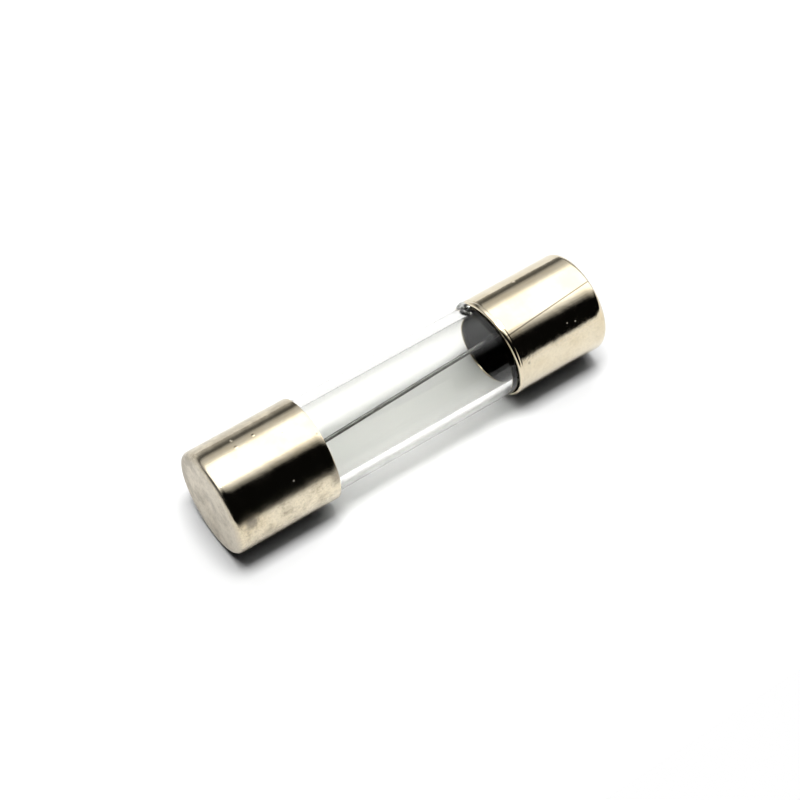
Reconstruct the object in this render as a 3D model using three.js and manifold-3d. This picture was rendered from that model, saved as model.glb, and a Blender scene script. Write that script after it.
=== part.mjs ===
// A cartridge fuse: a clear glass tube with a drawn metal cap on each end,
// and a thin wire along the inside, soldered into both caps.
// Millimetres. The fuse lies along X, its middle is at the origin, +Z is up.

import * as THREE from "three";
import { mergeVertices } from "three/addons/utils/BufferGeometryUtils.js";
import Module from "manifold-3d";

// Overall sizes.
const FUSE_LENGTH = 20.2;
const CAP_DIAMETER = 5.0;

// Caps, cups drawn from thin sheet. The left one is slightly the longer.
const CAP_LENGTH_LEFT = 5.3;
const CAP_LENGTH_RIGHT = 5.15;
const CAP_WALL = 0.15;
const CAP_END_THICKNESS = 0.2;
const CAP_EDGE_RADIUS = 0.3;
const CAP_LIP_RADIUS = 0.05;

// Glass tube, which sits inside the caps on a film of cement.
const GLASS_WALL = 0.5;
const GLASS_EDGE_RADIUS = 0.12;
const CEMENT_THICKNESS = 0.03;
const CEMENT_CLEARANCE = 0.01;
const CEMENT_LENGTH = 3.0;
const CEMENT_SETBACK = 0.12;

// The bead of cement that was squeezed out of the right cap's mouth.
// Its angle is counted from +Y towards +Z.
const BEAD_REACH = 0.6;
const BEAD_WIDTH = 1.1;
const BEAD_HEIGHT = 0.16;
const BEAD_SINK = 0.1;
const BEAD_DEGREES = 41;

// Solder, a disc between the tube's end and the cap, with a mound round the wire.
const SOLDER_THICKNESS = 0.35;
const SOLDER_CLEARANCE = 0.02;
const MOUND_HEIGHT = 0.9;
const MOUND_TO_BORE_GAP = 0.15;
const MOUND_TIP_WALL = 0.12;

// Fuse wire. Each offset is where the wire's end lies beside the fuse's axis.
const WIRE_DIAMETER = 0.2;
const WIRE_DEPTH_IN_SOLDER = 0.7;
const WIRE_CLEARANCE = 0.02;
const WIRE_OFFSET_LEFT = new THREE.Vector2(-0.25, -0.12);
const WIRE_OFFSET_RIGHT = new THREE.Vector2(0.44, 0.36);

// Facets round a turned piece and along a rounded edge, and round and up the bead.
const ROUND_SEGMENTS = 48;
const WIRE_SEGMENTS = 16;
const EDGE_STEPS = 4;
const BEAD_SEGMENTS_ROUND = 24;
const BEAD_SEGMENTS_UP = 16;
const MERGE_TOLERANCE = 1e-5;

// How the materials look.
const GLASS = { color: 0xeef2ee, roughness: 0.03, metalness: 0, opacity: 0.35, transparent: true };
const NICKEL = { color: 0xd9cfb8, roughness: 0.15, metalness: 1 };
const SOLDER = { color: 0xa9aaac, roughness: 0.35, metalness: 1 };
const CEMENT = { color: 0x5b5850, roughness: 0.5, metalness: 0 };
const WIRE = { color: 0x6f6f6a, roughness: 0.4, metalness: 1 };

// Sizes that follow from the ones above.
const HALF_LENGTH = FUSE_LENGTH / 2;
const CAP_RADIUS = CAP_DIAMETER / 2;
const CAP_BORE_RADIUS = CAP_RADIUS - CAP_WALL;
const CEMENT_OUTER_RADIUS = CAP_BORE_RADIUS - CEMENT_CLEARANCE;
const CEMENT_INNER_RADIUS = CEMENT_OUTER_RADIUS - CEMENT_THICKNESS;
const GLASS_RADIUS = CEMENT_INNER_RADIUS - CEMENT_CLEARANCE;
const GLASS_BORE_RADIUS = GLASS_RADIUS - GLASS_WALL;
const CAP_FLOOR_X = HALF_LENGTH - CAP_END_THICKNESS;
const SOLDER_BACK_X = CAP_FLOOR_X - SOLDER_CLEARANCE;
const SOLDER_FRONT_X = SOLDER_BACK_X - SOLDER_THICKNESS;
const GLASS_HALF_LENGTH = SOLDER_FRONT_X - SOLDER_CLEARANCE;
const MOUND_TIP_X = SOLDER_FRONT_X - MOUND_HEIGHT;
const WIRE_END_X = MOUND_TIP_X + WIRE_DEPTH_IN_SOLDER;
const WIRE_RADIUS = WIRE_DIAMETER / 2;

const wasm = await Module();
wasm.setup();

// Points on a quarter circle, from one angle to another, both in degrees.
function arc(centreX, centreY, radius, fromDegrees, toDegrees) {
  const points = [];
  for (let step = 0; step <= EDGE_STEPS; step += 1) {
    const degrees = THREE.MathUtils.lerp(fromDegrees, toDegrees, step / EDGE_STEPS);
    const angle = THREE.MathUtils.degToRad(degrees);
    points.push(new THREE.Vector2(centreX + radius * Math.cos(angle), centreY + radius * Math.sin(angle)));
  }
  return points;
}

// Turns a profile of (distance from the axis, place along +X) round the X axis.
// The facets are placed so that one faces straight down, for the fuse to lie on.
function turned(profile, segments = ROUND_SEGMENTS) {
  const geometry = new THREE.LatheGeometry(profile, segments, Math.PI / segments);
  geometry.rotateZ(-Math.PI / 2);
  return geometry;
}

function toSolid(geometry) {
  const bare = geometry.clone();
  bare.deleteAttribute("normal");
  bare.deleteAttribute("uv");
  const merged = mergeVertices(bare, MERGE_TOLERANCE);
  const vertProperties = new Float32Array(merged.attributes.position.array);
  const triVerts = new Uint32Array(merged.index.array);
  const mesh = new wasm.Mesh({ numProp: 3, vertProperties, triVerts });
  mesh.merge();
  return new wasm.Manifold(mesh);
}

function toGeometry(solid) {
  const mesh = solid.getMesh();
  const geometry = new THREE.BufferGeometry();
  geometry.setAttribute("position", new THREE.BufferAttribute(mesh.vertProperties, mesh.numProp));
  geometry.setIndex(new THREE.BufferAttribute(mesh.triVerts, 1));
  geometry.computeVertexNormals();
  return geometry;
}

// A cap for the right end: a cup with its mouth facing -X, a rounded outer
// corner of one sheet thickness round the inner one, and a rounded lip.
function capGeometry(capLength) {
  const mouthX = HALF_LENGTH - capLength;
  const innerCorner = Math.max(CAP_EDGE_RADIUS - CAP_WALL, CAP_LIP_RADIUS);
  const profile = [
    new THREE.Vector2(0, HALF_LENGTH),
    ...arc(CAP_RADIUS - CAP_EDGE_RADIUS, HALF_LENGTH - CAP_EDGE_RADIUS, CAP_EDGE_RADIUS, 90, 0),
    ...arc(CAP_RADIUS - CAP_LIP_RADIUS, mouthX + CAP_LIP_RADIUS, CAP_LIP_RADIUS, 0, -90),
    ...arc(CAP_BORE_RADIUS + CAP_LIP_RADIUS, mouthX + CAP_LIP_RADIUS, CAP_LIP_RADIUS, -90, -180),
    ...arc(CAP_BORE_RADIUS - innerCorner, CAP_FLOOR_X - innerCorner, innerCorner, 0, 90),
    new THREE.Vector2(0, CAP_FLOOR_X),
  ];
  return turned(profile.reverse());
}

// The glass tube, with fire-polished ends.
function tubeGeometry() {
  const outerX = GLASS_HALF_LENGTH - GLASS_EDGE_RADIUS;
  const outerR = GLASS_RADIUS - GLASS_EDGE_RADIUS;
  const boreR = GLASS_BORE_RADIUS + GLASS_EDGE_RADIUS;
  const profile = [
    ...arc(outerR, -outerX, GLASS_EDGE_RADIUS, -90, 0),
    ...arc(outerR, outerX, GLASS_EDGE_RADIUS, 0, 90),
    ...arc(boreR, outerX, GLASS_EDGE_RADIUS, 90, 180),
    ...arc(boreR, -outerX, GLASS_EDGE_RADIUS, 180, 270),
  ];
  profile.push(profile[0].clone());
  return turned(profile);
}

// Where the wire's middle line lies beside the axis at a place along X.
function wireOffsetAt(x) {
  const along = (x + WIRE_END_X) / (2 * WIRE_END_X);
  return new THREE.Vector2().lerpVectors(WIRE_OFFSET_LEFT, WIRE_OFFSET_RIGHT, along);
}

// A round bar along the wire's line, from one place along X to another.
function wireBar(fromX, toX, radius) {
  const from = wireOffsetAt(fromX);
  const to = wireOffsetAt(toX);
  const start = new THREE.Vector3(fromX, from.x, from.y);
  const end = new THREE.Vector3(toX, to.x, to.y);
  const bar = new THREE.CylinderGeometry(radius, radius, start.distanceTo(end), WIRE_SEGMENTS);
  const direction = new THREE.Vector3().subVectors(end, start).normalize();
  bar.applyQuaternion(new THREE.Quaternion().setFromUnitVectors(new THREE.Vector3(0, 1, 0), direction));
  bar.translate((start.x + end.x) / 2, (start.y + end.y) / 2, (start.z + end.z) / 2);
  return bar;
}

// Solder for one end: side is 1 for the right cap and -1 for the left. The
// mound stands on the disc where the wire comes out, and the wire has a hole.
function solderGeometry(side) {
  const innerCorner = Math.max(CAP_EDGE_RADIUS - CAP_WALL, CAP_LIP_RADIUS);
  const discRadius = CAP_BORE_RADIUS - SOLDER_CLEARANCE;
  const disc = turned([
    new THREE.Vector2(0, SOLDER_FRONT_X),
    new THREE.Vector2(discRadius, SOLDER_FRONT_X),
    ...arc(discRadius - innerCorner, SOLDER_BACK_X - innerCorner, innerCorner, 0, 90),
    new THREE.Vector2(0, SOLDER_BACK_X),
  ]);
  const offset = wireOffsetAt(side * SOLDER_FRONT_X);
  const moundRadius = GLASS_BORE_RADIUS - offset.length() - MOUND_TO_BORE_GAP;
  const tipRadius = WIRE_RADIUS + WIRE_CLEARANCE + MOUND_TIP_WALL;
  const sinkIntoDisc = SOLDER_THICKNESS / 2;
  const slope = [];
  for (let step = 0; step <= EDGE_STEPS; step += 1) {
    const share = step / EDGE_STEPS;
    const radius = tipRadius + (moundRadius - tipRadius) * share * share;
    slope.push(new THREE.Vector2(radius, THREE.MathUtils.lerp(MOUND_TIP_X, SOLDER_FRONT_X, share)));
  }
  const mound = turned([
    new THREE.Vector2(0, MOUND_TIP_X),
    ...slope,
    new THREE.Vector2(moundRadius, SOLDER_FRONT_X + sinkIntoDisc),
    new THREE.Vector2(0, SOLDER_FRONT_X + sinkIntoDisc),
  ], ROUND_SEGMENTS / 2);
  if (side < 0) {
    disc.rotateZ(Math.PI);
    mound.rotateZ(Math.PI);
  }
  mound.translate(0, offset.x, offset.y);
  const holeStart = MOUND_TIP_X - MOUND_HEIGHT;
  const holeEnd = WIRE_END_X + WIRE_CLEARANCE;
  const hole = wireBar(side * holeStart, side * holeEnd, WIRE_RADIUS + WIRE_CLEARANCE);
  return toGeometry(toSolid(disc).add(toSolid(mound)).subtract(toSolid(hole)));
}

// The film of cement between a right-hand cap and the tube, a little way in
// from the cap's mouth.
function cementFilm(capLength) {
  const frontX = HALF_LENGTH - capLength + CEMENT_SETBACK;
  const backX = frontX + CEMENT_LENGTH;
  return turned([
    new THREE.Vector2(CEMENT_INNER_RADIUS, frontX),
    new THREE.Vector2(CEMENT_OUTER_RADIUS, frontX),
    new THREE.Vector2(CEMENT_OUTER_RADIUS, backX),
    new THREE.Vector2(CEMENT_INNER_RADIUS, backX),
    new THREE.Vector2(CEMENT_INNER_RADIUS, frontX),
  ]);
}

// The film of the right cap with the bead: half an egg on the glass, just
// outside the cap's mouth, which runs on under the lip into the film.
function cementWithBead(capLength) {
  const mouthX = HALF_LENGTH - capLength;
  const egg = new THREE.SphereGeometry(1, BEAD_SEGMENTS_ROUND, BEAD_SEGMENTS_UP);
  egg.scale(BEAD_REACH, BEAD_WIDTH / 2, BEAD_HEIGHT + BEAD_SINK);
  egg.translate(mouthX, 0, GLASS_RADIUS - BEAD_SINK);
  egg.rotateX(THREE.MathUtils.degToRad(BEAD_DEGREES - 90));
  const room = turned([
    new THREE.Vector2(0, 0),
    new THREE.Vector2(CAP_RADIUS, 0),
    new THREE.Vector2(CAP_RADIUS, mouthX - CEMENT_CLEARANCE),
    new THREE.Vector2(CEMENT_OUTER_RADIUS, mouthX - CEMENT_CLEARANCE),
    new THREE.Vector2(CEMENT_OUTER_RADIUS, HALF_LENGTH),
    new THREE.Vector2(0, HALF_LENGTH),
  ]);
  const tubeSpace = turned([
    new THREE.Vector2(0, -HALF_LENGTH),
    new THREE.Vector2(CEMENT_INNER_RADIUS, -HALF_LENGTH),
    new THREE.Vector2(CEMENT_INNER_RADIUS, HALF_LENGTH),
    new THREE.Vector2(0, HALF_LENGTH),
  ]);
  const bead = toSolid(egg).intersect(toSolid(room)).subtract(toSolid(tubeSpace));
  return toGeometry(bead.add(toSolid(cementFilm(capLength))));
}

function piece(name, geometry, look) {
  const mesh = new THREE.Mesh(geometry, new THREE.MeshStandardMaterial(look));
  mesh.name = name;
  return mesh;
}

const fuse = new THREE.Group();
fuse.name = "cartridge_fuse";
fuse.add(piece("glass_tube", tubeGeometry(), GLASS));
fuse.add(piece("fuse_wire", wireBar(-WIRE_END_X, WIRE_END_X, WIRE_RADIUS), WIRE));
for (const [word, side, capLength] of [["left", -1, CAP_LENGTH_LEFT], ["right", 1, CAP_LENGTH_RIGHT]]) {
  const cap = piece(`end_cap_${word}`, capGeometry(capLength), NICKEL);
  cap.rotation.z = side < 0 ? Math.PI : 0;
  fuse.add(cap);
  fuse.add(piece(`solder_${word}`, solderGeometry(side), SOLDER));
}
const leftCement = piece("cement_left", cementFilm(CAP_LENGTH_LEFT), CEMENT);
leftCement.rotation.z = Math.PI;
fuse.add(leftCement);
fuse.add(piece("cement_right", cementWithBead(CAP_LENGTH_RIGHT), CEMENT));

export default fuse;
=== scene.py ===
"""A glass cartridge fuse: a clear tube, two nickel-plated caps, one fuse wire, solder and cement."""

import math

import bmesh
import bpy
from mathutils import Matrix, Vector, noise


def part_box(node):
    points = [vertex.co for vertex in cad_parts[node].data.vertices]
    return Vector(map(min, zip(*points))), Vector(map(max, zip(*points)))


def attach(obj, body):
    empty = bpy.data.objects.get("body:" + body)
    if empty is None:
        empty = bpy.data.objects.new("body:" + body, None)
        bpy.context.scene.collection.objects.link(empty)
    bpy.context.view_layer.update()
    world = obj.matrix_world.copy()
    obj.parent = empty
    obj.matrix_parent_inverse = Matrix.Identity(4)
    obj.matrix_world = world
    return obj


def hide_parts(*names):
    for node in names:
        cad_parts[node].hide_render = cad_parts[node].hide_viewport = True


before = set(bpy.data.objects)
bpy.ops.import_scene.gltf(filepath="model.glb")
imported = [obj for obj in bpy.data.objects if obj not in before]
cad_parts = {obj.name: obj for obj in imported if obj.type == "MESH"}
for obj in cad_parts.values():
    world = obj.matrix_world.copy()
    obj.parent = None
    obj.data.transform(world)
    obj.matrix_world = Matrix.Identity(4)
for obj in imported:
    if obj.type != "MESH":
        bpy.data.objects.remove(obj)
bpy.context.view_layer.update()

# ---- Sizes in millimetres. The fuse lies along X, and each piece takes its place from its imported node.

MM = 0.001
CAD_FACETS = 48
CAP_WALL = 0.15
CAP_END_THICKNESS = 0.2
CAP_EDGE_RADIUS = 0.3
CAP_LIP_RADIUS = 0.05
LIP_RING_WIDTH = 0.2
LIP_GROOVE_DEPTH = 0.025
LIP_GROOVE_WIDTH = 0.04
LIP_ROLL_RADIUS = 0.09
CAP_OVALITY = 0.03
CAP_FLAT_DEGREES = 121.0
RIGHT_MOUTH_SLANT = 0.15
RIGHT_MOUTH_SLANT_DEGREES = 30.0
SLANT_LENGTH = 1.2
GLASS_WALL = 0.5
GLASS_EDGE_RADIUS = 0.16
CEMENT_THICKNESS = 0.03
CEMENT_BITE = 0.005
SOLDER_FLANGE = 0.35
SOLDER_REACH = 0.35
SOLDER_SHELF = 0.72
SOLDER_EDGE_RADIUS = 0.05
SOLDER_TIP_RADIUS = 0.3
SOLDER_RIPPLE = 0.03
SOLDER_RIPPLE_SCALE = 1.7
CEMENT_SHORT_OF_MOUTH = 0.12
WIRE_DIAMETER = 0.2
WIRE_PLACE_LEFT = (-0.25, -0.12)
WIRE_PLACE_RIGHT = (0.44, 0.36)
WIRE_BEND = 0.025
WIRE_BEND_SCALE = 0.35
WIRE_BEND_SEED = 4.2
WIRE_LIFT = 0.02
WIRE_LIFT_SCALE = 0.3
WIRE_LIFT_SEED = 9.7
BEAD_DEGREES = 41.0
BEAD_WIDTH_DEGREES = 30.0
BEAD_REACH = 0.6
BEAD_HEIGHT = 0.19
BEAD_HALF_LENGTH = BEAD_REACH / 2.6
BEAD_PAST_MOUTH = BEAD_REACH / 4.2
BEAD_LUMPS = 0.2
BEAD_LUMPS_SCALE = 1.6
DIMPLE_DEPTH = 0.05
DIMPLE_RADIUS = 0.55
WAVE_HEIGHT = 0.003
WAVES_SCALE = 0.7

TURN_STEPS = 160
INSIDE_TURN_STEPS = 96
WIRE_SIDES = 20
WIRE_STEPS = 90
ROUNDING_STEPS = 6
EDGE_ROUNDING_STEPS = 10
CAP_STRIDE = 0.25
TUBE_STRIDE = 0.8
SOLDER_STRIDE = 0.2
CEMENT_STRIDE = 0.4
MERGE_DISTANCE = 1e-5

# ---- The studio: one large soft light above, a pale board, and a room dark in front and pale behind.
# The camera and the light have their distances in metres, and the board has its edges in millimetres. What the
# room shows also depends on how far a direction points across, along X, from -1 to 1.

CAMERA_AZIMUTH = -34.79
CAMERA_ELEVATION = 53.83
CAMERA_DISTANCE = 0.0925
CAMERA_AIM = Vector((0.008, -0.089, 0.0)) * MM
CAMERA_LENS = 91.8
CAMERA_SENSOR = 36.0
CAMERA_NEAREST = 0.001
KEY_HEIGHT = 0.5
KEY_NEAR_DEGREES = 80.5
KEY_FAR_DEGREES = 98.0
KEY_LEFT = -0.14
KEY_RIGHT = 0.1
KEY_STRENGTH = 20.0
ROOM_LEFT = -0.15
ROOM_RIGHT = 0.6
ROOM_EDGE = 0.1
ROOM_FILL = 0.02
DARK_FROM = -0.82
DARK_TO = -0.7
UNDER_LIGHT = 1.15
ROOM_MIDDLE_DEGREES = 115.0
ROOM_MIDDLE_ACROSS = 0.335
ROOM_SPREAD = 0.97
HORIZON_ACROSS = 0.407
HORIZON_SLOPE = 123.0
BOARD_FRONT = -20.0
BOARD_BACK = 160.0
BOARD_SIDE = 120.0


def millimetres(node):
    """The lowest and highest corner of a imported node, in millimetres."""
    low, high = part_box(node)
    return low / MM, high / MM


TUBE_LOW, TUBE_HIGH = millimetres("glass_tube")
LEFT_LOW, LEFT_HIGH = millimetres("end_cap_left")
RIGHT_LOW, RIGHT_HIGH = millimetres("end_cap_right")
FACET_SHARE = math.cos(math.pi / CAD_FACETS)
CAP_RADIUS = LEFT_HIGH.z / FACET_SHARE
CAP_BORE = CAP_RADIUS - CAP_WALL
GLASS_RADIUS = TUBE_HIGH.z / FACET_SHARE
GLASS_BORE = GLASS_RADIUS - GLASS_WALL


# ---- Shader maths


class Value:
    """One output of a shader node. Arithmetic on it adds the nodes that work it out."""

    def __init__(self, finish, socket):
        self.finish = finish
        self.socket = socket

    def math(self, operation, *numbers):
        return self.finish.add("ShaderNodeMath", {"operation": operation}, dict(enumerate(numbers)))

    def __add__(self, other):
        return self.math("ADD", self, other)

    __radd__ = __add__

    def __sub__(self, other):
        return self.math("SUBTRACT", self, other)

    def __rsub__(self, other):
        return self.math("SUBTRACT", other, self)

    def __mul__(self, other):
        return self.math("MULTIPLY", self, other)

    __rmul__ = __mul__

    def __truediv__(self, other):
        return self.math("DIVIDE", self, other)

    def __abs__(self):
        return self.math("ABSOLUTE", self)

    def angle(self, other):
        """The angle, in radians, of a direction that rises by this value along the other."""
        return self.math("ARCTAN2", self, other)

    def between(self, start, end, low=0.0, high=1.0):
        """Goes smoothly from low to high as this value goes from start to end."""
        settings = {"interpolation_type": "SMOOTHSTEP"}
        return self.finish.add("ShaderNodeMapRange", settings, {0: self, 1: start, 2: end, 3: low, 4: high})


class Finish:
    """A tree of shader nodes, and the one way that a node is added to it."""

    def __init__(self, owner):
        owner.use_nodes = True
        self.owner = owner
        self.tree = owner.node_tree
        self.tree.nodes.clear()

    def add(self, kind, settings=None, sockets=None, output=0):
        node = self.tree.nodes.new(kind)
        for name, setting in (settings or {}).items():
            if name == "stops":
                fill_ramp(node.color_ramp, setting)
            else:
                setattr(node, name, setting)
        for name, value in (sockets or {}).items():
            if isinstance(value, Value):
                self.tree.links.new(value.socket, node.inputs[name])
            else:
                node.inputs[name].default_value = value
        return Value(self, node.outputs[output] if node.outputs else None)

    def places(self):
        """Object coordinates, whose unit is the metre, made millimetres."""
        place = self.add("ShaderNodeTexCoord", output=3)
        return self.add("ShaderNodeMapping", {}, {"Vector": place, "Scale": (1 / MM,) * 3})

    def stretched(self, place, scale, turn=(0.0, 0.0, 0.0)):
        """Places that are scaled along each axis, and turned."""
        return self.add("ShaderNodeMapping", {}, {"Vector": place, "Scale": scale, "Rotation": turn})

    def axes(self, place):
        """The three numbers of a place."""
        return [self.add("ShaderNodeSeparateXYZ", {}, {0: place}, output=i) for i in range(3)]

    def cloud(self, place, scale, detail=3.0, roughness=0.5, distortion=0.0):
        """Soft noise from 0 to 1, with so many lumps to the millimetre."""
        sockets = {"Vector": place, "Scale": scale, "Detail": detail}
        sockets |= {"Roughness": roughness, "Distortion": distortion}
        return self.add("ShaderNodeTexNoise", {}, sockets)

    def spot(self, place, middle, size):
        """Goes from 1 at a middle to 0 so many millimetres from it."""
        sockets = {0: place, 1: tuple(middle)}
        gap = self.add("ShaderNodeVectorMath", {"operation": "DISTANCE"}, sockets, output=1)
        return gap.between(size, 0.0)

    def cells(self, place, scale):
        """The distance to the nearest of many scattered points."""
        return self.add("ShaderNodeTexVoronoi", {}, {"Vector": place, "Scale": scale})

    def blend(self, share, first, second):
        """One colour where share is 0 and the other where it is 1."""
        settings = {"data_type": "RGBA", "clamp_factor": True}
        return self.add("ShaderNodeMix", settings, {0: share, 6: first, 7: second}, output=2)

    def relief(self, height, depth, under=None):
        """A normal bent by a height that is given from 0 to 1, and is so many millimetres deep."""
        sockets = {"Height": height, "Strength": 1.0, "Distance": depth * MM}
        if under:
            sockets["Normal"] = under
        return self.add("ShaderNodeBump", {}, sockets)

    def surface(self, **sockets):
        """Ends a material with the shader of its surface."""
        named = {name.replace("_", " "): value for name, value in sockets.items()}
        shader = self.add("ShaderNodeBsdfPrincipled", {}, named)
        self.add("ShaderNodeOutputMaterial", {}, {"Surface": shader})
        return self.owner


def fill_ramp(ramp, stops):
    """Sets a colour ramp's stops, as (position, colour)."""
    while len(ramp.elements) < len(stops):
        ramp.elements.new(1.0)
    for element, (position, colour) in zip(ramp.elements, stops):
        element.position = position
        element.color = colour


def rgb(red, green, blue):
    return (red, green, blue, 1.0)


# ---- Finishes

NICKEL = rgb(0.74, 0.66, 0.505)
NICKEL_WARM = rgb(0.71, 0.615, 0.44)
NICKEL_GREY = rgb(0.53, 0.485, 0.41)
# Dark tint for the darker patches, and for the painted shade round the dimple in each cap's end.
DARK_TINT_AND_PAINTED_SHADE = rgb(0.33, 0.29, 0.225)
SCRATCH = rgb(0.14, 0.12, 0.09)
DUST = rgb(0.95, 0.94, 0.9)
GLASS = rgb(0.934, 0.938, 0.92)
GLASS_SHEEN = rgb(0.5, 0.5, 0.5)
WIRE = rgb(0.17, 0.17, 0.16)
WIRE_OXIDE = rgb(0.11, 0.11, 0.10)
# Near black, painted on the wire inside the caps as painted shade.
WIRE_PAINTED_SHADE = rgb(0.012, 0.012, 0.011)
TIN = rgb(0.55, 0.55, 0.54)
TIN_DULL = rgb(0.36, 0.35, 0.34)
# Near black: the cement's dark colour deepened with painted shade for the inside of the caps.
CEMENT_WITH_PAINTED_SHADE = rgb(0.012, 0.012, 0.011)
CEMENT_DARKER_WITH_PAINTED_SHADE = rgb(0.006, 0.006, 0.006)
BEAD = rgb(0.6, 0.6, 0.58)
BEAD_FLUX = rgb(0.14, 0.14, 0.13)
BOARD = rgb(0.86, 0.86, 0.855)
BOARD_LIGHT = rgb(0.88, 0.88, 0.875)


def nickel_finish(name, marks):
    """Nickel plate on drawn brass: bright-polished above, satin and grained on its ends and underside, darker
    in mottled patches there and over its back, with a painted shade ring round the dimple in each end.
    """
    finish = Finish(bpy.data.materials.new(name))
    place = finish.places()
    shifted = finish.add("ShaderNodeMapping", {}, {"Vector": place, "Location": (marks["seed"], 0.0, 0.0)})
    wear = marks["wear"]
    x, y, z = finish.axes(place)
    end = abs(x).between(RIGHT_HIGH.x - 0.22, RIGHT_HIGH.x - 0.02)
    under = z.between(1.6, 0.8)
    # The ends and the underside: duller, grained and darker in mottled patches.
    ends_and_underside = end.math("MAXIMUM", end, under)
    patches = finish.cloud(shifted, 0.55, 4.0, 0.6)
    blotches = finish.cloud(shifted, 1.9, 3.0, 0.55, 0.4)
    smudges = finish.cloud(shifted, 1.1, 6.0, 0.7)
    grain = finish.cloud(shifted, 9.0, 5.0, 0.75)
    lines = finish.cloud(finish.stretched(shifted, (0.5, 9.0, 9.0)), 2.2, 3.0, 0.6)
    scratches = finish.cloud(finish.stretched(shifted, (14.0, 0.9, 0.9), (0.2, 0.3, 0.5)), 3.0, 2.0, 0.4)
    specks = sum(finish.spot(place, spot, 0.055) for spot in marks["specks"])
    dents = sum(finish.spot(place, spot, size) for *spot, size in marks["dents"])
    dark_patches = sum(finish.spot(place, spot, size) for *spot, size in marks["dark_patches"])
    tint = finish.blend(patches.between(0.4, 0.65), NICKEL, NICKEL_WARM)
    tint = finish.blend(end * 0.7, tint, NICKEL_GREY)
    speckle = grain.between(0.42, 0.72) * (0.2 + wear * 0.5)
    out = (y * y + z * z).math("SQRT", y * y + z * z)
    # Painted shade: a darker ring round the middle of each end face, with a lighter centre, stands in for the
    # shading of the dimple.
    painted_dimple_shade = out.between(1.1, 0.6) * out.between(0.1, 0.5) * end * 0.3
    # Darker mottled patches over the back (+Y) of the cap, scaled by its wear.
    darker_at_back = y.between(0.5, 1.3) * smudges.between(0.3, 0.62) * wear
    darkening_and_painted_shade = ends_and_underside * (smudges.between(0.44, 0.72) * wear + speckle) + darker_at_back + dark_patches * 0.8 + painted_dimple_shade
    # The darker patches and the painted dimple shade all take the same dark tint.
    tint = finish.blend(darkening_and_painted_shade, tint, DARK_TINT_AND_PAINTED_SHADE)
    if marks["scratch"]:
        start, degrees, lean = marks["scratch"]
        gap = abs(z.angle(y) * (180 / math.pi) + (x - start) * lean - degrees)
        tint = finish.blend(gap.between(1.0, 0.3) * (1 - end) * 0.8, tint, SCRATCH)
    tint = finish.blend(specks, tint, DUST)
    polish = blotches.between(0.35, 0.7, 0.05, 0.1) + scratches.between(0.62, 0.72) * 0.02
    satin = blotches.between(0.3, 0.7, 0.1, 0.14) + wear * 0.2 + end * 0.12
    roughness = polish * (1 - ends_and_underside) + satin * ends_and_underside + specks * 0.5
    waves = finish.relief(blotches, 0.0035)
    drawn = finish.relief(lines, 0.0012, waves)
    grained = finish.relief(grain * (0.05 + ends_and_underside), 0.003, drawn)
    dented = finish.relief(dents, 0.012, grained)
    return finish.surface(Base_Color=tint, Metallic=1 - specks * 0.9, Roughness=roughness, Normal=dented)


def glass_finish():
    """Clear drawn glass with the faint long ripples that drawing leaves."""
    finish = Finish(bpy.data.materials.new("clear_glass_finish"))
    place = finish.places()
    ripples = finish.cloud(finish.stretched(place, (0.08, 1.4, 1.4)), 1.0, 2.0, 0.4)
    pits = finish.cloud(place, 7.0, 2.0)
    bent = finish.relief(pits, 0.0001, finish.relief(ripples, 0.001))
    return finish.surface(
        Base_Color=GLASS, Roughness=0.0, IOR=1.5, Transmission_Weight=1.0, Specular_Tint=GLASS_SHEEN,
        Normal=bent,
    )


def wire_finish():
    """Dull drawn alloy wire with long draw marks and darker oxide, painted near black inside the caps as
    painted shade.
    """
    finish = Finish(bpy.data.materials.new("fuse_wire_finish"))
    place = finish.places()
    oxide = finish.cloud(place, 2.2, 4.0, 0.6).between(0.35, 0.7)
    marks = finish.cloud(finish.stretched(place, (1.0, 24.0, 24.0)), 2.0, 3.0, 0.6)
    tint = finish.blend(oxide, WIRE, WIRE_OXIDE)
    # Painted shade: from each cap's mouth inwards the wire is painted near black, for the dark inside of the
    # cap.
    mouth = -LEFT_HIGH.x
    painted_shade_in_caps = abs(finish.axes(place)[0]).between(mouth - 0.2, mouth + 0.3)
    tint = finish.blend(painted_shade_in_caps, tint, WIRE_PAINTED_SHADE)
    roughness = 0.42 + oxide * 0.16
    normal = finish.relief(marks, 0.004)
    return finish.surface(Base_Color=tint, Metallic=1.0, Roughness=roughness, Normal=normal)


def solder_finish():
    """Solidified tin solder: dull crystals under a thin skin, with some brighter flow marks."""
    finish = Finish(bpy.data.materials.new("solder_finish"))
    place = finish.places()
    flow = finish.cloud(place, 1.6, 4.0, 0.6, 0.6)
    crystals = finish.cells(place, 5.0)
    tint = finish.blend(flow.between(0.35, 0.65), TIN, TIN_DULL)
    roughness = flow.between(0.3, 0.7, 0.28, 0.5)
    normal = finish.relief(crystals, 0.01, finish.relief(flow, 0.03))
    return finish.surface(Base_Color=tint, Metallic=1.0, Roughness=roughness, Normal=normal)


def cement_with_painted_shade_finish():
    """Near-black fired cement, dull and finely pitted: its dark colour is deepened with painted shade for the
    dark inside of the caps.
    """
    finish = Finish(bpy.data.materials.new("cement_with_painted_shade_finish"))
    place = finish.places()
    patches = finish.cloud(place, 1.4, 4.0, 0.6)
    grit = finish.cloud(place, 18.0, 3.0, 0.7)
    tint = finish.blend(patches.between(0.35, 0.65), CEMENT_WITH_PAINTED_SHADE, CEMENT_DARKER_WITH_PAINTED_SHADE)
    roughness = grit.between(0.3, 0.7, 0.5, 0.75)
    normal = finish.relief(grit, 0.01)
    return finish.surface(Base_Color=tint, Roughness=roughness, Specular_IOR_Level=0.0, Normal=normal)


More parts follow.
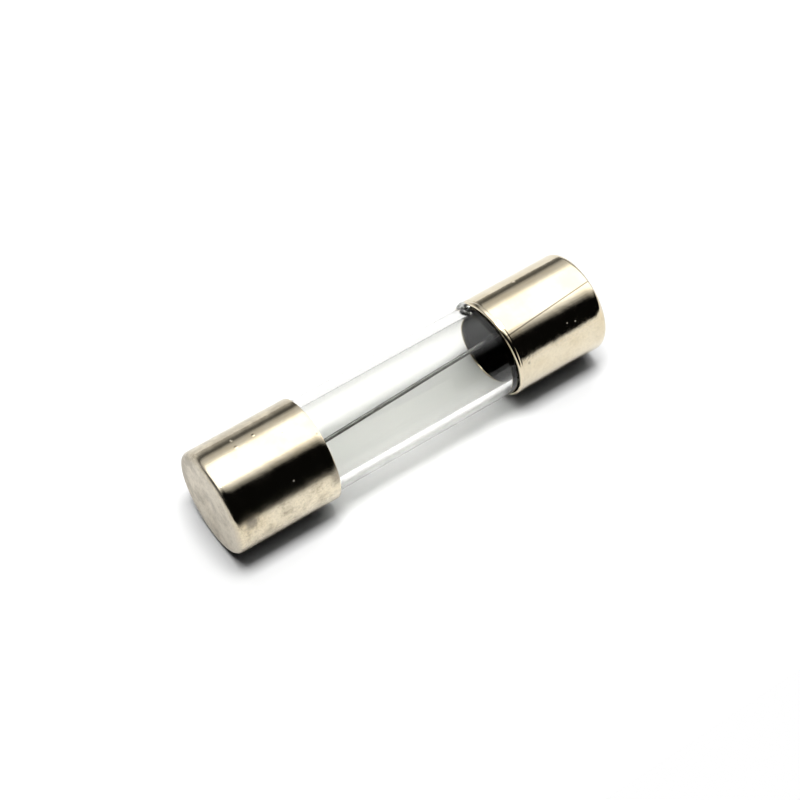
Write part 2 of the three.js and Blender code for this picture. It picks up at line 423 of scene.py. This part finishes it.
def bead_finish():
    """Bright solder with a smooth skin, dulled in patches by flux."""
    finish = Finish(bpy.data.materials.new("solder_bead_finish"))
    place = finish.places()
    patches = finish.cloud(place, 3.0, 3.0, 0.6)
    tint = finish.blend(patches.between(0.45, 0.6), BEAD, BEAD_FLUX)
    roughness = patches.between(0.3, 0.7, 0.05, 0.16)
    normal = finish.relief(patches, 0.006)
    return finish.surface(Base_Color=tint, Metallic=1.0, Roughness=roughness, Normal=normal)


def floor_finish():
    """Pale matt studio board with a barely visible tooth."""
    finish = Finish(bpy.data.materials.new("studio_board"))
    place = finish.places()
    tooth = finish.cloud(place, 1.2, 3.0)
    tint = finish.blend(tooth, BOARD, BOARD_LIGHT)
    roughness = tooth.between(0.3, 0.7, 0.7, 0.85)
    return finish.surface(Base_Color=tint, Roughness=roughness, Specular_IOR_Level=0.2)


# ---- Making pieces


def closed(bm):
    """Joins what a spin leaves double at its seam and poles, and turns every face outwards."""
    bmesh.ops.remove_doubles(bm, verts=bm.verts, dist=MERGE_DISTANCE)
    bmesh.ops.dissolve_degenerate(bm, edges=bm.edges, dist=MERGE_DISTANCE)
    bmesh.ops.recalc_face_normals(bm, faces=bm.faces)


def outline(points, ring=False):
    """A chain of edges through points of (place along X, distance from the axis), or a ring of them."""
    bm = bmesh.new()
    made = [bm.verts.new((x, 0.0, r)) for x, r in points]
    for first, second in zip(made, made[1:] + made[:1] if ring else made[1:]):
        bm.edges.new((first, second))
    return bm


def rounded(bm, corners, radius, steps=ROUNDING_STEPS):
    """Rounds the corners of an outline that lie at the given points."""
    bm.verts.ensure_lookup_table()
    for x, r in corners:
        corner = min(bm.verts, key=lambda v: (v.co - Vector((x, 0.0, r))).length)
        bmesh.ops.bevel(
            bm, geom=[corner], offset=radius, affect="VERTICES", segments=steps, profile=0.5, material=-1
        )


def divided(bm, longest):
    """Cuts the edges of an outline so that none is longer than that."""
    for edge in list(bm.edges):
        cuts = math.ceil(edge.calc_length() / longest) - 1
        if cuts > 0:
            bmesh.ops.subdivide_edges(bm, edges=[edge], cuts=cuts)


def spun(bm, steps=TURN_STEPS):
    """Turns an outline about the X axis."""
    geometry = bm.verts[:] + bm.edges[:]
    bmesh.ops.spin(
        bm, geom=geometry, cent=(0, 0, 0), axis=(1, 0, 0), dvec=(0, 0, 0), angle=math.tau, steps=steps,
        use_merge=True, use_duplicate=False,
    )
    closed(bm)


def turned_round(bm):
    """Turns a shape made for the left end half way round the vertical axis, for the right end."""
    bmesh.ops.rotate(bm, verts=bm.verts, cent=(0, 0, 0), matrix=Matrix.Rotation(math.pi, 3, "Z"))


def piece(name, bm, material, slot, *nodes):
    """Makes a finished shape a piece on the one body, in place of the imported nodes."""
    bmesh.ops.scale(bm, verts=bm.verts, vec=(MM,) * 3)
    for face in bm.faces:
        face.smooth = True
    mesh = bpy.data.meshes.new(name)
    bm.to_mesh(mesh)
    bm.free()
    mesh.materials.append(material)
    made = bpy.data.objects.new(name, mesh)
    bpy.context.scene.collection.objects.link(made)
    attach(made, "root")
    if nodes:
        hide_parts(*nodes)
    return made


# ---- Caps

# How each cap was used and marked. Dents, dark patches and specks are places (x, y, z), and dents and dark
# patches have their size after it. The scratch is where it starts along the cap, its degrees round the cap
# there, and how many degrees it turns in each millimetre.
LEFT_MARKS = {
    "seed": 2.0,
    "waves": 3.1,
    "wear": 0.7,
    "dents": (
        (-8.23, 0.87, 2.34, 0.09), (-7.31, 0.53, 2.44, 0.1),
        (-6.2, -0.15, 2.49, 0.09), (-8.26, 0.4, 2.47, 0.12),
    ),
    "dark_patches": (
        (-9.3, -2.3, 0.98, 0.45), (-9.25, -2.36, 0.8, 0.4), (-4.95, -0.91, 2.33, 0.1),
        (-4.95, -2.24, 1.1, 0.6), (-4.95, -2.42, 0.62, 0.5),
    ),
    "specks": ((-6.86, -1.96, 1.55),),
    "scratch": None,
}
RIGHT_MARKS = {
    "seed": 31.0,
    "waves": 11.7,
    "wear": 0.15,
    "dents": ((7.2, 1.1, 2.24, 0.1),),
    "dark_patches": ((5.6, -2.3, 0.98, 0.12),),
    "specks": ((8.04, -1.86, 1.67), (8.46, -1.93, 1.59)),
    "scratch": (5.38, 119.0, 1.86),
}


def pressed_oval(bm, amount):
    """Presses a cap slightly oval. A positive amount makes one side flatter, and a negative one fuller."""
    flat = math.radians(CAP_FLAT_DEGREES)
    for vert in bm.verts:
        spread = Vector((0.0, vert.co.y, vert.co.z))
        share = spread.length / CAP_RADIUS
        round_it = math.atan2(vert.co.z, vert.co.y)
        vert.co -= spread.normalized() * amount * share * math.cos(2 * (round_it - flat))


def slanted(bm, mouth_x, amount, degrees):
    """Moves a mouth that was trimmed slightly askew: along the cap, most at the mouth and less behind it."""
    for vert in bm.verts:
        share = max(0.0, 1 - abs(vert.co.x - mouth_x) / SLANT_LENGTH)
        round_it = math.atan2(vert.co.z, vert.co.y)
        vert.co.x -= share * amount * math.cos(round_it - math.radians(degrees))


def pushed(bm, seed):
    """Gives a cap's wall the slight waves of thin drawn metal."""
    for vert in bm.verts:
        spread = Vector((0.0, vert.co.y, vert.co.z))
        if spread.length > MERGE_DISTANCE * 10:
            push = WAVE_HEIGHT * noise.noise(vert.co * WAVES_SCALE + Vector((seed, seed, seed)))
            vert.co += spread.normalized() * push


def dimpled(bm, end_x):
    """Leaves a soft dimple in the middle of a cap's end, where the drawing punch pressed it."""
    for vert in bm.verts:
        out = math.hypot(vert.co.y, vert.co.z) / DIMPLE_RADIUS
        share = 1 - abs(vert.co.x - end_x) / (CAP_END_THICKNESS * 2)
        if share > 0:
            vert.co.x -= math.copysign(DIMPLE_DEPTH, end_x) * math.exp(-out * out)


def cap(end_x, mouth_x, lip_ring):
    """A drawn cup, from the middle of its end face round its lip to the middle of its floor."""
    floor_x = end_x + CAP_END_THICKNESS
    ring_x = mouth_x - LIP_RING_WIDTH
    places = [ring_x + LIP_GROOVE_WIDTH * step for step in (-1.5, -0.5, 0.0, 0.5, 1.5)]
    ring = [(x, CAP_RADIUS) for x in places] if lip_ring else []
    if ring:
        ring[2] = (ring_x, CAP_RADIUS - LIP_GROOVE_DEPTH)
    bm = outline([
        (end_x, 0.0), (end_x, CAP_RADIUS), *ring, (mouth_x, CAP_RADIUS),
        (mouth_x, CAP_BORE), (floor_x, CAP_BORE), (floor_x, 0.0),
    ])
    rounded(bm, [(end_x, CAP_RADIUS)], CAP_EDGE_RADIUS, EDGE_ROUNDING_STEPS)
    rounded(bm, [(mouth_x, CAP_RADIUS)], LIP_ROLL_RADIUS if lip_ring else CAP_LIP_RADIUS)
    rounded(bm, [(mouth_x, CAP_BORE)], CAP_LIP_RADIUS)
    rounded(bm, [(floor_x, CAP_BORE)], CAP_LIP_RADIUS * 2)
    divided(bm, CAP_STRIDE)
    spun(bm)
    return bm


def make_caps():
    """The left cap, which has a dimpled end, and the right one, which has a ring near its slanted mouth."""
    left = cap(LEFT_LOW.x, LEFT_HIGH.x, False)
    dimpled(left, LEFT_LOW.x)
    pressed_oval(left, CAP_OVALITY)
    pushed(left, LEFT_MARKS["waves"])
    nickel = nickel_finish("left_nickel", LEFT_MARKS)
    piece("left_cap", left, nickel, "nickel_plate", "end_cap_left")
    right = cap(-RIGHT_HIGH.x, -RIGHT_LOW.x, True)
    turned_round(right)
    pressed_oval(right, -CAP_OVALITY)
    slanted(right, RIGHT_LOW.x, RIGHT_MOUTH_SLANT, RIGHT_MOUTH_SLANT_DEGREES)
    pushed(right, RIGHT_MARKS["waves"])
    nickel = nickel_finish("right_nickel", RIGHT_MARKS)
    piece("right_cap", right, nickel, "nickel_plate", "end_cap_right")


# ---- Tube


def make_tube():
    """A thick tube with fire-polished ends."""
    corners = [
        (TUBE_LOW.x, GLASS_BORE), (TUBE_LOW.x, GLASS_RADIUS),
        (TUBE_HIGH.x, GLASS_RADIUS), (TUBE_HIGH.x, GLASS_BORE),
    ]
    bm = outline(corners, ring=True)
    rounded(bm, corners, GLASS_EDGE_RADIUS)
    divided(bm, TUBE_STRIDE)
    spun(bm)
    piece("clear_tube", bm, glass_finish(), "clear_glass", "glass_tube")


# ---- Wire


def wire_place(x):
    """The wire's distance from the axis, as (y, z), at a place along the fuse."""
    share = (x - LEFT_LOW.x) / (RIGHT_HIGH.x - LEFT_LOW.x)
    return [a + (b - a) * share for a, b in zip(WIRE_PLACE_LEFT, WIRE_PLACE_RIGHT)]


def make_wire():
    """A thin round wire that isn't quite straight."""
    low, high = millimetres("fuse_wire")
    bm = bmesh.new()
    made = bmesh.ops.create_circle(bm, cap_ends=True, segments=WIRE_SIDES, radius=WIRE_DIAMETER / 2)
    bmesh.ops.rotate(bm, verts=made["verts"], cent=(0, 0, 0), matrix=Matrix.Rotation(math.pi / 2, 3, "Y"))
    stride = (high.x - low.x) / WIRE_STEPS
    bmesh.ops.translate(bm, verts=bm.verts, vec=(low.x, 0, 0))
    face = bm.faces[:][0]
    front = [face]
    for _ in range(WIRE_STEPS):
        grown = bmesh.ops.extrude_face_region(bm, geom=front)
        moved = [g for g in grown["geom"] if isinstance(g, bmesh.types.BMVert)]
        bmesh.ops.translate(bm, verts=moved, vec=(stride, 0, 0))
        old = front
        front = [g for g in grown["geom"] if isinstance(g, bmesh.types.BMFace)]
        if old[0] is not face:
            bmesh.ops.delete(bm, geom=old, context="FACES_ONLY")
    for vert in bm.verts:
        y, z = wire_place(vert.co.x)
        bend = WIRE_BEND * noise.noise(Vector((vert.co.x * WIRE_BEND_SCALE, WIRE_BEND_SEED, 0.0)))
        lift = WIRE_LIFT * noise.noise(Vector((vert.co.x * WIRE_LIFT_SCALE, WIRE_LIFT_SEED, 0.0)))
        vert.co += Vector((0.0, y + bend, z + lift))
    closed(bm)
    piece("thin_wire", bm, wire_finish(), "fuse_alloy", "fuse_wire")


# ---- Solder


def make_solder(side, end):
    """A disc of set solder in the bottom of a cap, drawn up round the wire."""
    low, high = millimetres(f"solder_{side}")
    back_x = low.x if end < 0 else -high.x
    tip_x = high.x if end < 0 else -low.x
    radius = high.z / FACET_SHARE
    front_x = back_x + SOLDER_FLANGE
    foot = SOLDER_REACH * radius * 2
    bm = outline([
        (back_x, 0.0), (back_x, radius), (front_x, radius), (front_x, radius * SOLDER_SHELF),
        (front_x + 0.12, foot * 0.7), (tip_x - 0.1, SOLDER_TIP_RADIUS), (tip_x, 0.0),
    ])
    rounded(bm, [(front_x, radius)], SOLDER_EDGE_RADIUS)
    divided(bm, SOLDER_STRIDE)
    spun(bm, INSIDE_TURN_STEPS)
    for vert in bm.verts:
        share = max(0.0, (vert.co.x - front_x + 0.05) / (tip_x - front_x))
        if vert.co.x > front_x - 0.01:
            wire_y, wire_z = wire_place(-end * vert.co.x)
            vert.co.y -= end * wire_y * share
            vert.co.z += wire_z * share
            vert.co.x += SOLDER_RIPPLE * noise.noise(vert.co * SOLDER_RIPPLE_SCALE)
    if end > 0:
        turned_round(bm)
    piece(f"{side}_solder_pool", bm, solder_finish(), "solder", f"solder_{side}")


# ---- Cement


def make_film(side, end, material):
    """The thin ring of cement between a cap and the glass."""
    low, high = millimetres(f"cement_{side}")
    inner = GLASS_RADIUS - CEMENT_BITE
    outer = GLASS_RADIUS + CEMENT_THICKNESS
    from_x, to_x = (low.x, high.x) if end < 0 else (-high.x, -low.x)
    if end > 0:
        to_x = -(RIGHT_LOW.x + CEMENT_SHORT_OF_MOUTH)
    bm = outline([(from_x, inner), (from_x, outer), (to_x, outer), (to_x, inner)], ring=True)
    divided(bm, CEMENT_STRIDE)
    spun(bm, INSIDE_TURN_STEPS)
    if end > 0:
        turned_round(bm)
    piece(f"{side}_cement_film", bm, material, "cement", f"cement_{side}")


def make_bead():
    """The lump of cement that was squeezed out at the top of the right cap's mouth."""
    angle = math.radians(BEAD_DEGREES)
    bm = bmesh.new()
    bmesh.ops.create_icosphere(bm, subdivisions=5, radius=1.0)
    half_width = math.radians(BEAD_WIDTH_DEGREES) / 2 * GLASS_RADIUS
    for vert in bm.verts:
        vert.co *= 1 + BEAD_LUMPS * noise.noise(vert.co * BEAD_LUMPS_SCALE)
    bmesh.ops.scale(bm, verts=bm.verts, vec=(BEAD_HALF_LENGTH, half_width, BEAD_HEIGHT))
    for vert in bm.verts:
        around = angle + vert.co.y / GLASS_RADIUS
        reach = GLASS_RADIUS + vert.co.z
        x = RIGHT_LOW.x - BEAD_PAST_MOUTH + vert.co.x
        vert.co = Vector((x, reach * math.cos(around), reach * math.sin(around)))
    bmesh.ops.recalc_face_normals(bm, faces=bm.faces)
    piece("cement_bead", bm, bead_finish(), "cement", "cement_right")


# ---- Studio


def make_floor():
    """A pale board, short in front of the fuse, so that the caps show the room over its edge."""
    bm = bmesh.new()
    bmesh.ops.create_grid(bm, x_segments=1, y_segments=1, size=1.0)
    bmesh.ops.scale(bm, verts=bm.verts, vec=(BOARD_SIDE, (BOARD_BACK - BOARD_FRONT) / 2, 1.0))
    bmesh.ops.translate(bm, verts=bm.verts, vec=(0, (BOARD_BACK + BOARD_FRONT) / 2, -CAP_RADIUS))
    bmesh.ops.scale(bm, verts=bm.verts, vec=(MM,) * 3)
    mesh = bpy.data.meshes.new("studio_floor")
    bm.to_mesh(mesh)
    bm.free()
    mesh.materials.append(floor_finish())
    floor = bpy.data.objects.new("studio_floor", mesh)
    bpy.context.scene.collection.objects.link(floor)


def make_softbox(name, height, near_degrees, far_degrees, left, right, strength):
    """A flat soft light above the fuse. Its edges are set by the angles at which the caps show them."""
    near_y = -height / math.tan(math.radians(near_degrees))
    far_y = -height / math.tan(math.radians(far_degrees))
    lamp = bpy.data.lights.new(name, "AREA")
    lamp.shape = "RECTANGLE"
    lamp.size = right - left
    lamp.size_y = far_y - near_y
    lamp.energy = strength * math.pi * lamp.size * lamp.size_y
    light = bpy.data.objects.new(name, lamp)
    light.location = ((left + right) / 2, (near_y + far_y) / 2, height)
    bpy.context.scene.collection.objects.link(light)


# What stands round the fuse, as (degrees up from the horizon in front and over to the back, brightness).
# Below the horizon the degrees go on, down in front to -90 and down at the back to 270.
ROOM = (
    (-90.0, 0.003), (53.0, 0.003), (55.5, 0.04), (60.0, 0.25), (64.0, 0.5), (68.0, 0.85), (72.0, 1.25),
    (77.0, 2.05), (130.0, 2.05), (135.0, 1.5), (141.0, 0.9), (146.0, 0.7), (153.0, 0.6), (158.0, 0.4),
    (162.0, 0.14), (168.0, 0.12), (174.0, 0.3), (180.0, 0.55), (190.0, 0.85), (270.0, 1.1),
)


def make_room():
    """The world: white to the camera, a banded room to the metal, and a narrower one to the board."""
    world = bpy.data.worlds.new("studio_room")
    bpy.context.scene.world = world
    finish = Finish(world)
    direction = finish.add("ShaderNodeTexCoord", output=0)
    x, y, z = finish.axes(direction)
    past_back = z.math("LESS_THAN", z, 0.0) * y.math("GREATER_THAN", y, 0.0)
    turn = z.angle(y * -1.0) * (180 / math.pi) + past_back * 360
    across = x.math("MINIMUM", x.math("MAXIMUM", x, 0.1), 0.5)
    spread = 1 - (across - ROOM_MIDDLE_ACROSS) * ROOM_SPREAD
    widened = (turn - ROOM_MIDDLE_DEGREES) * spread + ROOM_MIDDLE_DEGREES
    stops = [((degrees + 90) / 360, rgb(light, light, light)) for degrees, light in ROOM]
    bands = finish.add("ShaderNodeValToRGB", {"stops": stops}, {0: (widened + 90) / 360})
    under = (turn - (across - HORIZON_ACROSS) * HORIZON_SLOPE).between(1.0, -3.0)
    room = finish.blend(under, bands, rgb(UNDER_LIGHT, UNDER_LIGHT, UNDER_LIGHT))
    mirrored = finish.add("ShaderNodeLightPath", output=3)
    inside = x.between(ROOM_LEFT, ROOM_LEFT + ROOM_EDGE) * x.between(ROOM_RIGHT, ROOM_RIGHT - ROOM_EDGE)
    shown = inside.math("MAXIMUM", inside, mirrored * x.between(DARK_FROM, DARK_TO))
    room = finish.blend(shown, rgb(ROOM_FILL, ROOM_FILL, ROOM_FILL), room)
    seen = finish.add("ShaderNodeLightPath", output=0)
    colour = finish.blend(seen, room, rgb(1.0, 1.0, 1.0))
    shader = finish.add("ShaderNodeBackground", {}, {"Color": colour, "Strength": 1.0})
    finish.add("ShaderNodeOutputWorld", {}, {"Surface": shader})


def make_camera():
    """The camera, and how light travels: metal throws none on the board, and glass lets it through."""
    azimuth = math.radians(CAMERA_AZIMUTH)
    elevation = math.radians(CAMERA_ELEVATION)
    back = Vector((
        math.sin(azimuth) * math.cos(elevation),
        -math.cos(azimuth) * math.cos(elevation),
        math.sin(elevation),
    ))
    data = bpy.data.cameras.new("camera")
    data.lens = CAMERA_LENS
    data.sensor_width = CAMERA_SENSOR
    data.clip_start = CAMERA_NEAREST
    camera = bpy.data.objects.new("camera", data)
    camera.location = CAMERA_AIM + back * CAMERA_DISTANCE
    camera.rotation_euler = (-back).to_track_quat("-Z", "Y").to_euler()
    bpy.context.scene.collection.objects.link(camera)
    bpy.context.scene.camera = camera
    bpy.context.scene.view_settings.view_transform = "Standard"
    bpy.context.scene.cycles.blur_glossy = 0.0
    bpy.context.scene.cycles.caustics_reflective = False


make_camera()
make_floor()
make_softbox(
    "key_light", KEY_HEIGHT, KEY_NEAR_DEGREES, KEY_FAR_DEGREES, KEY_LEFT, KEY_RIGHT, KEY_STRENGTH,
)
make_room()
make_tube()
make_caps()
make_wire()
make_solder("left", -1)
make_solder("right", 1)
# The cement's finish, near black partly as painted shade.
cement = cement_with_painted_shade_finish()
make_film("left", -1, cement)
make_film("right", 1, cement)
make_bead()
